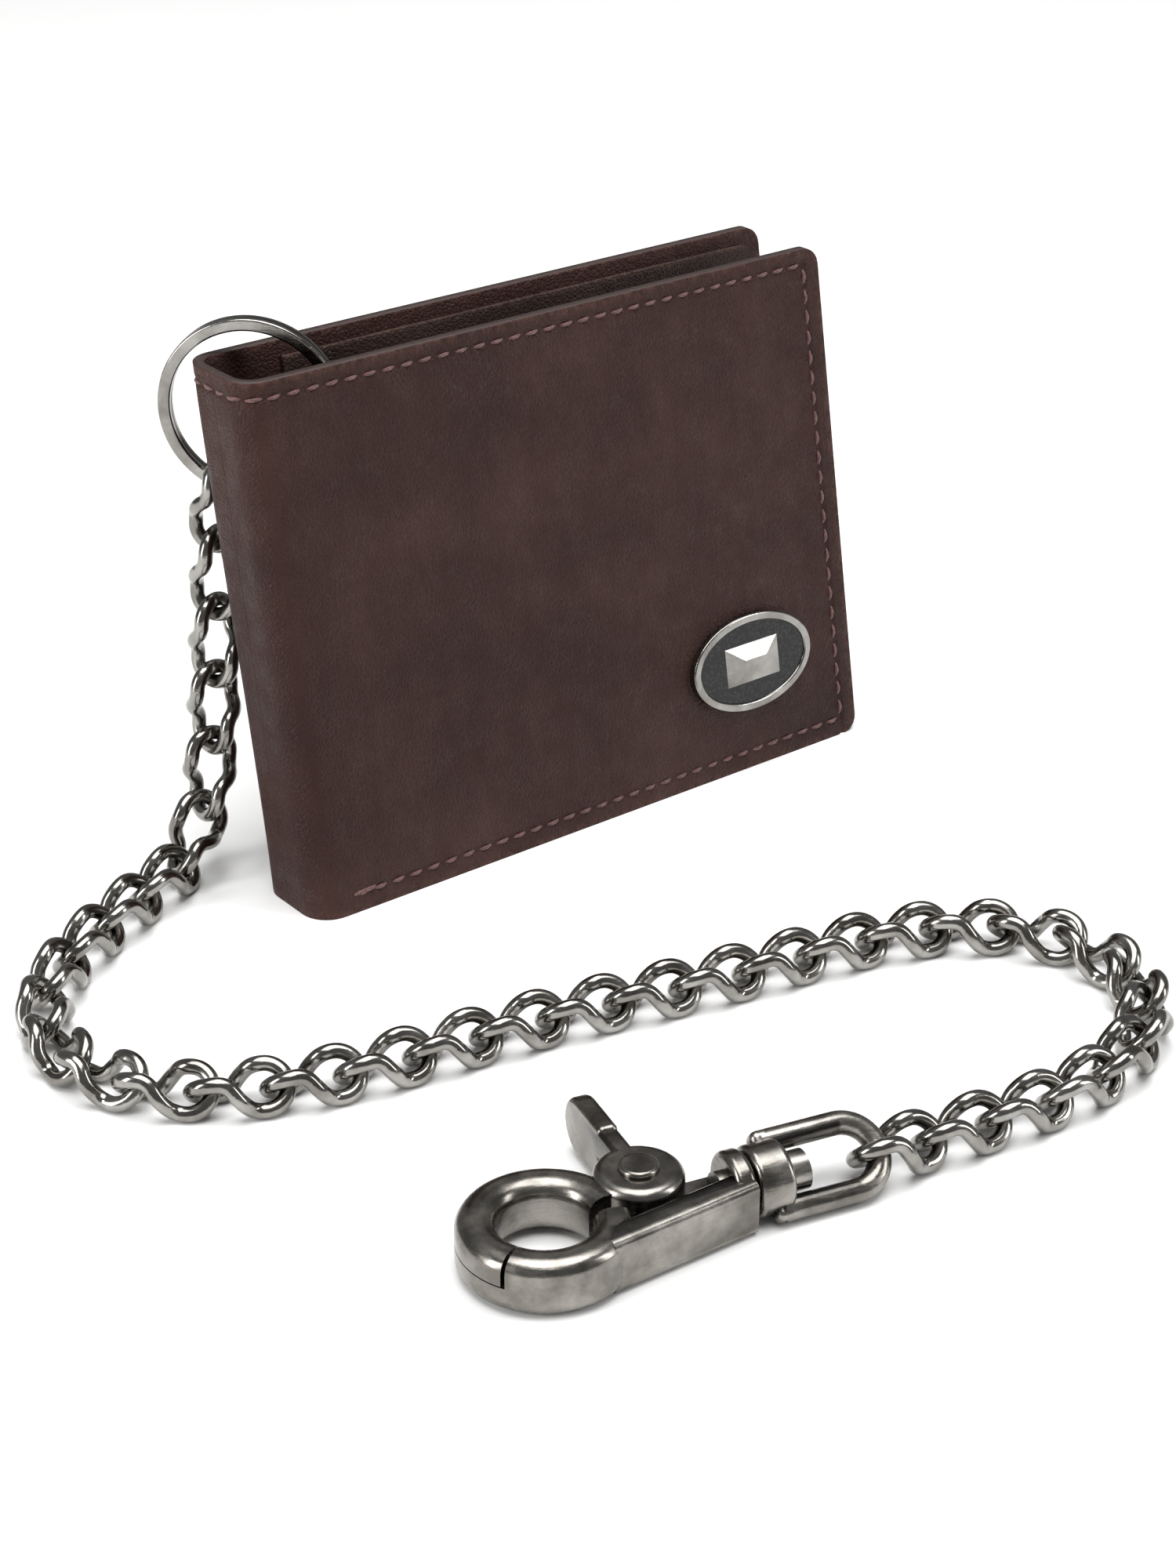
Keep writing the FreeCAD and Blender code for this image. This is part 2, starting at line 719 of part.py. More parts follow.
def swivel_bail():
    """A rolled loop of thick wire on a hub that turns on the swivel post."""
    axis = size("axis_height")
    roll = Rotation(Vector(1, 0, 0), size("bail_roll"))
    half = size("bail_half")

    def leg(name, side):
        aside = roll.multVec(Vector(0, side * half, 0))
        place = in_clasp(half, aside.y, axis + aside.z, ALONG)
        return cylinder(name, place, "<bail_wire>", "<hub_start> + <bail_wire> - <bail_half>")

    end = bind(doc.addObject("Part::Torus", "bail_end"), Radius1="<bail_half>", Radius2="<bail_wire>")
    end.Angle3 = 180
    end.Placement = in_clasp(half, 0, axis, roll * Rotation(Vector(0, 0, 1), 90))
    hub = rod("bail_hub", size("hub_start"), "<hub_radius>", "<hub_end> - <hub_start>")
    collar = round_edges("bail_collar", hub, size("hub_round"), circular)
    share = size("shoulder_share") * size("bail_wire")
    corner = roll.multVec(Vector(0, -half - share, -share))
    shoulder = block(
        "bail_shoulder",
        in_clasp(size("hub_start"), corner.y, axis + corner.z, roll),
        "<shoulder_long>",
        "2 * (<bail_half> + <bail_wire> * <shoulder_share>)",
        "2 * <bail_wire> * <shoulder_share>",
    )
    bar = round_edges("bail_bar", shoulder, size("shoulder_round"), lambda edge: True)
    solid = join("bail_solid", end, leg("bail_leg_far", -1), leg("bail_leg_near", 1), collar, bar)
    bore = rod("bail_bore", size("hub_start") - size("shoulder_long"), "<post_radius> + <post_gap>", "<drill>")
    piece(cut("swivel_bail", solid, bore), "swivel_bail")


def swivel_post():
    """The rivet on which the bail turns, headed inside the bail and behind the end plate."""
    start = size("hub_start") - size("post_play")
    shank = rod("post_shank", start, "<post_radius>", "<plate_end> - <hub_start> + <post_play>")
    head = rod("post_near_head", start - size("post_head_thick"), "<post_head>", "<post_head_thick>")
    tail = rod("post_far_head", size("plate_end"), "<post_tail>", "<post_tail_thick>")
    piece(join("swivel_post", shank, head, tail), "swivel_post")


def ring_sector(name, low, high, angles):
    """Part of the hook's round jaw between two angles."""
    start, stop = angles
    place = in_clasp(size("hook_along"), size("hook_aside"), low, Rotation(Vector(0, 0, 1), start))
    outer = bind(doc.addObject("Part::Cylinder", f"{name}_outer"), Radius="<hook_outer>")
    inner = bind(doc.addObject("Part::Cylinder", f"{name}_inner"), Radius="<hook_inner>")
    outer.Angle = stop - start
    for item in (outer, inner):
        item.Height = high - low
        item.Placement = place
    return cut(name, outer, inner)


def curved(edge):
    return not isinstance(edge.Curve, Part.Line)


def snap_body():
    """The fixed jaw with its lap, the beam beside the eye, the lower eye plate and the end plate."""
    low, top, half = size("jaw_low"), size("jaw_top"), size("half_level")
    soft = size("jaw_round")
    radius = size("hub_radius")

    def lower_curve(edge):
        return curved(edge) and edge.CenterOfMass.z < low + size("lap_gap")

    jaw = round_edges("fixed_jaw", ring_sector("fixed_jaw_blank", low, top, FIXED_JAW), soft, curved)
    lap = round_edges("jaw_lap", ring_sector("jaw_lap_blank", low, half, FIXED_LAP), soft, lower_curve)
    turn = Rotation(Vector(0, 0, 1), size("beam_angle"))
    angle = math.radians(size("beam_angle"))
    start = size("plate_start") + size("beam_width") * math.sin(angle) + size("post_play")
    across = radius - size("beam_width") * math.cos(angle)
    tall = "<jaw_top> - <jaw_low>"
    beam = block("beam_blank", in_clasp(start, across, low, turn), "<beam_long>", "<beam_width>", tall)
    long_way = in_clasp(0, 0, 0, turn).Rotation.multVec(Vector(1, 0, 0))

    def runs_along(edge):
        return abs(edge.tangentAt(edge.FirstParameter).dot(long_way)) > 0.99

    beam_soft = round_edges("beam", beam, size("beam_round"), runs_along)
    plate = rod("end_plate", size("plate_start"), "<hub_radius>", "<plate_end> - <plate_start>")
    plate_soft = round_edges("end_plate_soft", plate, size("hub_round"), circular)
    lower_eye = upright("lower_eye", low, "<eye_radius>", "<half_level> - <jaw_low>")
    inset = size("floor_inset")
    floor = block(
        "lower_plate",
        in_clasp(size("plate_start") + inset, inset - radius, low),
        "<pivot_along> - <plate_start>",
        "2 * (<hub_radius> - <floor_inset>)",
        "<half_level> - <jaw_low>",
    )
    solid = join("snap_solid", jaw, lap, beam_soft, plate_soft, lower_eye, floor)
    below = -size("drill") / 2
    pivot = upright("snap_pivot_hole", below, "<pivot_radius>", "<drill>")
    shank = rod("snap_swivel_hole", size("plate_start") - inset, "<post_radius>", "<plate_end> - <plate_start> + 1")
    tail = rod("snap_tail_room", size("plate_end"), "<post_tail>", "<post_tail_thick> + <spring_lift>")
    eye_room = upright("snap_eye_room", half, "<eye_radius> + <eye_play>", "<drill>")
    piece(cut("snap_body", solid, group("snap_tools", pivot, shank, tail, eye_room)), "snap_body")


def lever():
    """The thumb lever that stands out from the trigger's eye."""
    half = size("half_level") + size("lap_gap")
    thick, pad, middle = size("lever_thick"), size("lever_pad"), size("lever_middle")
    left = size("pivot_along") - thick / 2
    tip = size("pivot_aside") - size("lever_length") + pad
    round_tip = cylinder("lever_tip", in_clasp(left, tip, middle, ALONG), "<lever_pad>", "<lever_thick>")
    web = block(
        "lever_web",
        in_clasp(left, tip, middle - pad),
        "<lever_thick>",
        "<lever_length> - <lever_pad> - <lever_neck> + <spring_inner>",
        "2 * <lever_pad>",
    )
    neck = block(
        "lever_root",
        in_clasp(left, size("pivot_aside") - size("lever_neck"), half),
        "<lever_thick>",
        "<lever_neck> - <spring_inner>",
        "<eye_top> - <half_level> - <lap_gap>",
    )
    soft = size("lever_round")
    blade = round_edges("lever", join("lever_blade", round_tip, web), soft, lambda edge: True)
    return blade, round_edges("lever_neck", neck, soft, lambda edge: edge.Length > size("lever_pad") * 2)


def trigger():
    """The swinging jaw: its eye, its lever and the arm that laps over the fixed jaw."""
    top, half = size("jaw_top"), size("half_level") + size("lap_gap")
    soft = size("jaw_round")

    def upper_curve(edge):
        return curved(edge) and edge.CenterOfMass.z > top - size("lap_gap")

    def top_rim(edge):
        return edge.CenterOfMass.z > size("eye_top") - size("lap_gap")

    arm_blank = ring_sector("trigger_arm_blank", size("arm_low"), top, SWINGING_JAW)
    arm = round_edges("trigger_arm", arm_blank, soft, curved)
    tip = round_edges("trigger_tip", ring_sector("trigger_tip_blank", half, top, SWINGING_LAP), soft, upper_curve)
    disc = upright("trigger_eye_blank", half, "<eye_radius>", "<eye_top> - <half_level> - <lap_gap>")
    eye = round_edges("trigger_eye", disc, size("eye_round"), top_rim)
    solid = join("trigger_solid", arm, tip, eye, *lever())
    below = -size("drill") / 2
    bore = upright("trigger_bore", below, "<pivot_radius> + <post_gap>", "<drill> * 2")
    lug_room = upright("trigger_lug_room", half - size("drill"), "<eye_radius> + 2 * <eye_play>", "<drill>")
    coil_room = upright("spring_room", 0, "<spring_outer> + <eye_play>", "<half_level> + <lap_gap> + <spring_tall>")
    piece(cut("trigger", solid, group("trigger_tools", bore, lug_room, coil_room)), "trigger")


def trigger_spring():
    """The flat coil under the trigger's eye that closes the jaw."""
    coil = upright("spring_outside", size("half_level") + size("spring_lift"), "<spring_outer>", "<spring_tall>")
    piece(cut("trigger_spring", coil, upright("spring_inside", 0, "<spring_inner>", "<drill>")), "trigger_spring")


def pivot_rivet():
    """The rivet through both eyes, with a low domed head on top."""
    seat = size("eye_top") + size("post_gap")
    shank = upright("rivet_shank", size("jaw_low"), "<pivot_radius>", "<eye_top> - <jaw_low> + <post_play>")
    head = upright("rivet_head_blank", seat, "<pivot_head>", "<pivot_head_rise>")

    def top_rim(edge):
        return edge.CenterOfMass.z > seat + size("pivot_head_rise") / 2

    head_soft = round_edges("rivet_head", head, size("pivot_head_round"), top_rim)
    piece(join("pivot_rivet", shank, head_soft), "pivot_rivet")


# ------------------------------------------------------------------ build, check and write

CLASP = clasp_place()

front_half()
back_half()
spine()
badge()
eyelet()
split_ring()
chain()
swivel_bail()
swivel_post()
snap_body()
trigger()
trigger_spring()
pivot_rivet()
doc.recompute()

failed = [item.Name for item in doc.Objects if "Invalid" in item.State or "Error" in item.State]
if failed:
    raise RuntimeError(f"objects that did not build: {failed}")
for node in NODES:
    if node.Shape.isNull() or not node.Shape.isValid():
        raise RuntimeError(f"{node.Label} is not a valid shape")

os.makedirs("parts", exist_ok=True)
for node in NODES:
    node.Shape.exportStep(f"parts/{node.Label}.step")
    print(node.Label, len(node.Shape.Solids), round(node.Shape.Volume, 1))
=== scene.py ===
"""Looks for the chain wallet: stitched leather, metals, a pale floor, lights and camera."""

import math

import bmesh
import bpy
from mathutils import Matrix, Vector, noise


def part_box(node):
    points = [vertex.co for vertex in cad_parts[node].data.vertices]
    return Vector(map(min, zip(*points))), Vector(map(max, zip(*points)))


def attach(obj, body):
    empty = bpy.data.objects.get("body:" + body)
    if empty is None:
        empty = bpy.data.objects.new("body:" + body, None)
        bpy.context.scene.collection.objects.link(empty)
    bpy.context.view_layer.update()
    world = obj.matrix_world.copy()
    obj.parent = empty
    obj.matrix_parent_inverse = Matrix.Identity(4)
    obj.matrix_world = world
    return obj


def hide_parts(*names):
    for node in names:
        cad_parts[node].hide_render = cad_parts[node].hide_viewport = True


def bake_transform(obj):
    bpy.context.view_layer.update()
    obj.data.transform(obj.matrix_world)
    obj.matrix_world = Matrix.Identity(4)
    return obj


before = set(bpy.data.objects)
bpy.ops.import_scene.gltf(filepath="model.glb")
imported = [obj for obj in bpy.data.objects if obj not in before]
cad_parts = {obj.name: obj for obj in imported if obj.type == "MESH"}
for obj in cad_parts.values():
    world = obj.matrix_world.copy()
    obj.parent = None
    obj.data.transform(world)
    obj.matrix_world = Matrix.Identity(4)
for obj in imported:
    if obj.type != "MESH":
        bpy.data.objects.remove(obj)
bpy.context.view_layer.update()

MM = 0.001
LEAN = math.radians(10)
UP = Vector((0, math.sin(LEAN), math.cos(LEAN)))
INTO = Vector((0, math.cos(LEAN), -math.sin(LEAN)))
SLOPE = math.tan(LEAN)

cover_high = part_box("front_cover")[1]
back_low, back_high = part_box("back_cover")
spine_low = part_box("spine_leather")[0]

# The folded leather, in metres: its plan is taken at the foot, where Y isn't moved by the lean.
RISE = cover_high.z
LEFT = spine_low.x
RIGHT = cover_high.x
FRONT = spine_low.y
BACK = back_high.y - RISE * SLOPE
LEATHER = back_high.y - back_low.y - RISE * SLOPE
SPINE_CORNER = 5.0 * MM
COVER_CORNER = 3.0 * MM
EYELET_HOLE = 4.3 * MM
MIDDLE = (FRONT + BACK) / 2

# Sewing: how far each line is from its edge, and the stitches themselves.
SEAM_TOP = 2.7 * MM
SEAM_SIDE = 3.4 * MM
SEAM_FOOT = 3.0 * MM
STITCH_PITCH = 3.5 * MM
STITCH_LONG = 2.7 * MM
THREAD = 0.34 * MM
SEAM_SINK = 0.32 * MM
SEAM_REACH = 0.8 * MM
BACK_STITCHES = 4
THREAD_SIDES = 8
THREAD_SECTIONS = 7

# Mesh spacing, and the wear, waviness and corners of the sheets.
FINE, COARSE = 0.35 * MM, 0.9 * MM
PANEL_FINE, PANEL_COARSE, PANEL_EDGE = 0.8 * MM, 2.5 * MM, 4 * MM
CORNER_STEPS = 10
EDGE_WEAR = 1.6 * MM
TOP_WEAR = 1.2 * MM
FLAT_MARGIN = 8 * MM
PANEL_CORNER = 2.5 * MM
HEM_DEEP, HEM_TALL = 0.12 * MM, 5 * MM
SEWN_FROM = 4 * MM
CUTTER_LONG = 12 * MM
CUTTER_SIDES = 48

# The tarnish in the hollows of the metal, and the studio.
HOLLOW = (0.022, 0.020, 0.019)
FLOOR_HALF = 4.0
SURROUND = 0.2
LIT_POINT = (0.03, -0.04, 0.04)
CAMERA_PLACE = Vector((-225.8, -365.0, 241.7)) * MM
CAMERA_AIM = Vector((0.5495, 0.6987, -0.4575))
CAMERA_LENS = 68.4
CAMERA_SENSOR = 36


# ------------------------------------------------------------------ node materials


class Nodes:
    """A short way to build a node material: each call adds a node and returns its output."""

    def __init__(self, name):
        self.material = bpy.data.materials.new(name)
        self.material.use_nodes = True
        self.tree = self.material.node_tree
        self.shader = self.tree.nodes["Principled BSDF"]
        self.where = self.add("ShaderNodeTexCoord").outputs["Object"]

    def add(self, kind, **values):
        node = self.tree.nodes.new(kind)
        for key, value in values.items():
            setattr(node, key, value)
        return node

    def link(self, source, socket):
        self.tree.links.new(source, socket)

    def stretched(self, x, y, z):
        node = self.add("ShaderNodeMapping")
        node.inputs["Scale"].default_value = (x, y, z)
        self.link(self.where, node.inputs["Vector"])
        return node.outputs["Vector"]

    def wavy(self, x, y, z, amount):
        """Stretched coordinates, pushed about by noise."""
        push = self.add("ShaderNodeVectorMath", operation="MULTIPLY_ADD")
        push.inputs[1].default_value = (amount, amount, amount)
        noise = self.add("ShaderNodeTexNoise")
        noise.inputs["Scale"].default_value = 130
        self.link(self.where, noise.inputs["Vector"])
        self.link(noise.outputs["Color"], push.inputs[0])
        self.link(self.stretched(x, y, z), push.inputs[2])
        return push.outputs["Vector"]

    def noise(self, scale, detail=3.0, rough=0.5, vector=None):
        node = self.add("ShaderNodeTexNoise")
        node.inputs["Scale"].default_value = scale
        node.inputs["Detail"].default_value = detail
        node.inputs["Roughness"].default_value = rough
        self.link(vector or self.where, node.inputs["Vector"])
        return node.outputs["Fac"]

    def cells(self, scale, feature="F1", vector=None):
        node = self.add("ShaderNodeTexVoronoi", feature=feature)
        node.inputs["Scale"].default_value = scale
        self.link(vector or self.where, node.inputs["Vector"])
        return node.outputs["Distance"]

    def ramp(self, factor, *stops):
        node = self.add("ShaderNodeValToRGB")
        band = node.color_ramp
        while len(band.elements) < len(stops):
            band.elements.new(0.5)
        for element, (place, colour) in zip(band.elements, stops):
            element.position = place
            element.color = (*colour, 1)
        self.link(factor, node.inputs["Fac"])
        return node.outputs["Color"]

    def span(self, factor, low, high, from_low=0.0, from_high=1.0):
        node = self.add("ShaderNodeMapRange")
        node.inputs["From Min"].default_value = from_low
        node.inputs["From Max"].default_value = from_high
        node.inputs["To Min"].default_value = low
        node.inputs["To Max"].default_value = high
        self.link(factor, node.inputs["Value"])
        return node.outputs["Result"]

    def sum(self, first, second, share):
        node = self.add("ShaderNodeMath", operation="MULTIPLY_ADD")
        node.inputs[1].default_value = share
        self.link(second, node.inputs[0])
        self.link(first, node.inputs[2])
        return node.outputs["Value"]

    def times(self, first, second):
        node = self.add("ShaderNodeMath", operation="MULTIPLY")
        self.link(first, node.inputs[0])
        self.link(second, node.inputs[1])
        return node.outputs["Value"]

    def mix(self, factor, first, second):
        node = self.add("ShaderNodeMix", data_type="RGBA")
        self.link(factor, node.inputs["Factor"])
        for socket, colour in ((node.inputs[6], first), (node.inputs[7], second)):
            if isinstance(colour, tuple):
                socket.default_value = (*colour, 1)
            else:
                self.link(colour, socket)
        return node.outputs[2]

    def bump(self, height, distance, strength=1.0):
        node = self.add("ShaderNodeBump")
        node.inputs["Strength"].default_value = strength
        node.inputs["Distance"].default_value = distance
        self.link(height, node.inputs["Height"])
        self.link(node.outputs["Normal"], self.shader.inputs["Normal"])

    def set(self, **values):
        for key, value in values.items():
            self.shader.inputs[key.replace("_", " ")].default_value = value

    def feed(self, socket, output):
        self.link(output, self.shader.inputs[socket])


def leather(name, dark, base, light, roughness=(0.42, 0.62)):
    """Smooth brown leather: cloudy colour, fine grain, a few creases, worn where the mesh says so."""
    m = Nodes(name)
    cloud = m.noise(45, 4, 0.6)
    streak = m.noise(1, 3, 0.6, m.stretched(420, 420, 60))
    blotch = m.sum(cloud, streak, 0.25)
    colour = m.ramp(m.span(blotch, 0, 1, 0.42, 0.84), (0.0, dark), (0.5, base), (1.0, light))
    worn = m.add("ShaderNodeAttribute", attribute_name="wear").outputs["Fac"]
    patch = m.span(m.noise(700, 3, 0.6), 0, 1, 0.4, 0.62)
    bare = tuple(min(1.0, c * 1.8) for c in light)
    m.feed("Base Color", m.mix(m.times(worn, patch), colour, bare))
    crease = m.span(m.cells(1, "DISTANCE_TO_EDGE", m.wavy(75, 75, 26, 0.55)), 1, 0, 0, 0.035)
    kept = m.span(m.noise(24, 2), 0, 1, 0.54, 0.66)
    pores = m.cells(1300, "DISTANCE_TO_EDGE")
    grain = m.sum(m.span(pores, 0, 1, 0, 0.25), m.noise(900, 4, 0.65), 0.6)
    folds = m.sum(m.sum(grain, streak, 0.12), m.times(crease, kept), -0.8)
    m.bump(folds, 0.00022, 0.5)
    m.feed("Roughness", m.span(m.noise(260, 3), *roughness, 0.3, 0.7))
    m.set(Specular_IOR_Level=0.2)
    return m.material


def raw_edge(name):
    """The burnished cut edge of the leather."""
    m = Nodes(name)
    layers = m.noise(1, 4, 0.7, m.stretched(900, 4200, 900))
    m.feed("Base Color", m.ramp(layers, (0.3, (0.018, 0.010, 0.009)), (0.7, (0.055, 0.030, 0.024))))
    m.bump(layers, 0.00015, 0.5)
    m.set(Roughness=0.5)
    return m.material


def thread(name):
    """Twisted reddish-brown sewing thread."""
    m = Nodes(name)
    twist = m.noise(1, 2, 0.5, m.stretched(2600, 2600, 2600))
    m.feed("Base Color", m.ramp(twist, (0.3, (0.050, 0.018, 0.016)), (0.7, (0.17, 0.070, 0.062))))
    m.bump(twist, 0.00012, 0.6)
    m.set(Roughness=0.55, Sheen_Weight=0.25)
    return m.material


def steel(name, dark, light, roughness, scratch=0.35):
    """Metal with a cloudy finish, fine scratches, and a darker tone in its hollows."""
    m = Nodes(name)
    cloud = m.noise(160, 4, 0.6)
    tone = m.ramp(m.span(cloud, 0, 1, 0.35, 0.65), (0.0, dark), (1.0, light))
    hollow = m.add("ShaderNodeNewGeometry").outputs["Pointiness"]
    m.feed("Base Color", m.mix(m.span(hollow, 1, 0, 0.44, 0.5), tone, HOLLOW))
    lines = m.noise(1, 3, 0.6, m.stretched(300, 300, 2600))
    m.feed("Roughness", m.span(m.sum(lines, cloud, 0.5), roughness[0], roughness[1], 0.5, 1.0))
    m.bump(lines, 0.00005, scratch)
    m.set(Metallic=1.0)
    return m.material


def enamel(name):
    """Dark glossy enamel with a faint speckle."""
    m = Nodes(name)
    speck = m.cells(1600)
    m.feed("Base Color", m.ramp(speck, (0.1, (0.030, 0.029, 0.031)), (0.6, (0.008, 0.008, 0.009))))
    m.feed("Roughness", m.span(m.noise(400), 0.12, 0.3))
    m.bump(m.noise(500), 0.00006, 0.3)
    m.set(Specular_IOR_Level=0.25, Coat_Weight=0.08, Coat_Roughness=0.12)
    return m.material


BROWN = leather("wallet_leather", (0.023, 0.0080, 0.0060), (0.034, 0.0128, 0.0094), (0.048, 0.021, 0.0165))
LINING = leather("lining_leather", (0.018, 0.009, 0.007), (0.030, 0.015, 0.012), (0.043, 0.024, 0.019))
POCKET = leather("pocket_leather", (0.022, 0.010, 0.008), (0.036, 0.017, 0.013), (0.050, 0.027, 0.022))
EDGE = raw_edge("cut_edge")
THREAD_LOOK = thread("sewing_thread")
POLISHED = steel("polished_steel", (0.19, 0.18, 0.165), (0.34, 0.33, 0.31), (0.12, 0.24))
ANTIQUE = steel("antique_nickel", (0.15, 0.14, 0.125), (0.31, 0.295, 0.27), (0.18, 0.34), 0.6)
SPRING = steel("spring_steel", (0.12, 0.115, 0.11), (0.24, 0.23, 0.22), (0.25, 0.4))
ENAMEL = enamel("badge_enamel_look")


# ------------------------------------------------------------------ the folded leather


def quarter(centre, radius, start, stop):
    """Points of an arc in plan."""
    steps = [start + (stop - start) * k / CORNER_STEPS for k in range(CORNER_STEPS + 1)]
    turns = [math.radians(step) for step in steps]
    return [Vector((centre[0] + radius * math.cos(a), centre[1] + radius * math.sin(a), 0)) for a in turns]


def front_path():
    """The outer face in plan, from the middle of the spine round the corner to the open edge."""
    corner = quarter((LEFT + SPINE_CORNER, FRONT + SPINE_CORNER), SPINE_CORNER, 180, 270)
    return [Vector((LEFT, MIDDLE, 0)), *corner, Vector((RIGHT, FRONT, 0))]


def back_path():
    """The same round the other corner, from the middle of the spine to the back's open edge."""
    corner = quarter((LEFT + SPINE_CORNER, BACK - SPINE_CORNER), SPINE_CORNER, 180, 90)
    return [Vector((LEFT, MIDDLE, 0)), *corner, Vector((RIGHT, BACK, 0))]


def measured(path):
    """Distance along a path at each of its points."""
    far = [0.0]
    for a, b in zip(path, path[1:]):
        far.append(far[-1] + (b - a).length)
    return far


def along(path, far, distance):
    """Point and direction of a path at a distance from its start."""
    k = max(i for i in range(len(far) - 1) if far[i] <= distance + 1e-9)
    share = (distance - far[k]) / (far[k + 1] - far[k])
    step = path[k + 1] - path[k]
    if 0 < k < len(path) - 2:
        before = (path[k] - path[k - 1]).normalized().lerp(step.normalized(), 0.5)
        after = step.normalized().lerp((path[k + 2] - path[k + 1]).normalized(), 0.5)
        heading = before.lerp(after, share).normalized()
    else:
        heading = step.normalized()
    return path[k] + step * share, heading


def seam_sink(to_top, to_side, to_foot, foot_sewn):
    """How far the leather is drawn in by the sewing near it."""
    lines = [to_top - SEAM_TOP, to_side - SEAM_SIDE]
    if foot_sewn:
        lines.append(to_foot - SEAM_FOOT)
    inside = to_top > SEAM_TOP - SEAM_REACH and to_side > SEAM_SIDE - SEAM_REACH
    if not inside:
        return 0.0
    near = min(abs(d) for d in lines)
    return SEAM_SINK * math.exp(-((near / (SEAM_REACH * 0.6)) ** 2))


def spaced(length, fine, coarse, edge):
    """Distances from 0 to a length, closer together near both of its ends."""
    places = [0.0]
    while places[-1] < length:
        here = places[-1]
        step = fine if min(here, length - here) < edge else coarse
        places.append(min(length, here + step))
    return places


def height_range(to_side):
    """Foot and top of a cover at a distance from its open edge, with its rounded corners."""
    if to_side >= COVER_CORNER:
        return 0.0, RISE / math.cos(LEAN)
    cut = COVER_CORNER - math.sqrt(max(0.0, COVER_CORNER**2 - (COVER_CORNER - to_side) ** 2))
    return cut, RISE / math.cos(LEAN) - cut


def swell(distance, height, total, tall):
    """Slight waviness of leather that has been carried, none at its edges."""
    edge = min(1.0, min(distance, total - distance, height, tall - height) / FLAT_MARGIN)
    slow = noise.noise(Vector((distance * 28, height * 20, total * 50)))
    streak = noise.noise(Vector((distance * 130, height * 14, 3.7)))
    return max(0.0, edge) * (0.30 * slow + 0.16 * streak) * MM


def skin(mesh, outer, inner):
    """Faces over two grids of points and round their rim; returns the rim, its first column last."""
    columns, rows = len(outer) - 1, len(outer[0]) - 1
    for grid in (outer, inner):
        for a in range(columns):
            for b in range(rows):
                mesh.faces.new((grid[a][b], grid[a + 1][b], grid[a + 1][b + 1], grid[a][b + 1]))
    rim = [(a, 0) for a in range(columns)] + [(columns, b) for b in range(rows)]
    rim += [(a, rows) for a in range(columns, 0, -1)] + [(0, b) for b in range(rows, 0, -1)]
    edge = []
    for (a, b), (c, d) in zip(rim, rim[1:] + rim[:1]):
        edge.append(mesh.faces.new((outer[a][b], outer[c][d], inner[c][d], inner[a][b])))
    return edge


def made(name, mesh, *looks):
    """An object in the scene from a finished mesh."""
    bmesh.ops.recalc_face_normals(mesh, faces=mesh.faces)
    data = bpy.data.meshes.new(name)
    mesh.to_mesh(data)
    mesh.free()
    data.shade_smooth()
    for look in looks:
        data.materials.append(look)
    piece = bpy.data.objects.new(name, data)
    bpy.context.scene.collection.objects.link(piece)
    return piece


def sheet_mesh(name, path, inward_sign):
    """A leather sheet along a plan path, with sewing lines drawn in and worn edges."""
    far = measured(path)
    total, tall = far[-1], RISE / math.cos(LEAN)
    columns = spaced(total, FINE, COARSE, 5.5 * MM)
    rows = [d / tall for d in spaced(tall, FINE, COARSE, 5.0 * MM)]
    corner_end = far[-2]
    mesh = bmesh.new()
    wear = mesh.verts.layers.float.new("wear")
    grids = []
    for depth in (0.0, LEATHER):
        grid = []
        for distance in columns:
            point, heading = along(path, far, distance)
            inward = Vector((-heading.y, heading.x, 0)) * inward_sign
            low, high = height_range(total - distance)
            line = []
            for share in rows:
                height = low + (high - low) * share
                foot_sewn = distance > corner_end + SEWN_FROM
                sink = seam_sink(high - height, total - distance, height - low, foot_sewn)
                sink -= swell(distance, height - low, total, high - low)
                out = inward * (sink if depth == 0.0 else depth)
                place = Vector((point.x + out.x, point.y + out.y, 0)) + UP * height
                vertex = mesh.verts.new(place)
                edge = min(high - height, height - low, total - distance)
                vertex[wear] = max(0.0, 1 - edge / EDGE_WEAR) * 0.8
                line.append(vertex)
            grid.append(line)
        grids.append(grid)
    rim = skin(mesh, *grids)
    for face in rim[: 1 - len(rows)]:
        face.material_index = 1
    return made(name, mesh, BROWN, EDGE)


def soften(piece, width, segments=3, angle=50):
    """Round a piece's sharp edges and smooth its shading."""
    bevel = piece.modifiers.new("rounding", "BEVEL")
    bevel.width = width
    bevel.segments = segments
    bevel.limit_method = "ANGLE"
    bevel.angle_limit = math.radians(angle)
    apply_modifiers(piece)
    piece.data.shade_smooth()


def apply_modifiers(piece):
    """Bake a piece's modifiers into its mesh."""
    graph = bpy.context.evaluated_depsgraph_get()
    graph.update()
    final = bpy.data.meshes.new_from_object(piece.evaluated_get(graph))
    piece.modifiers.clear()
    piece.data = final


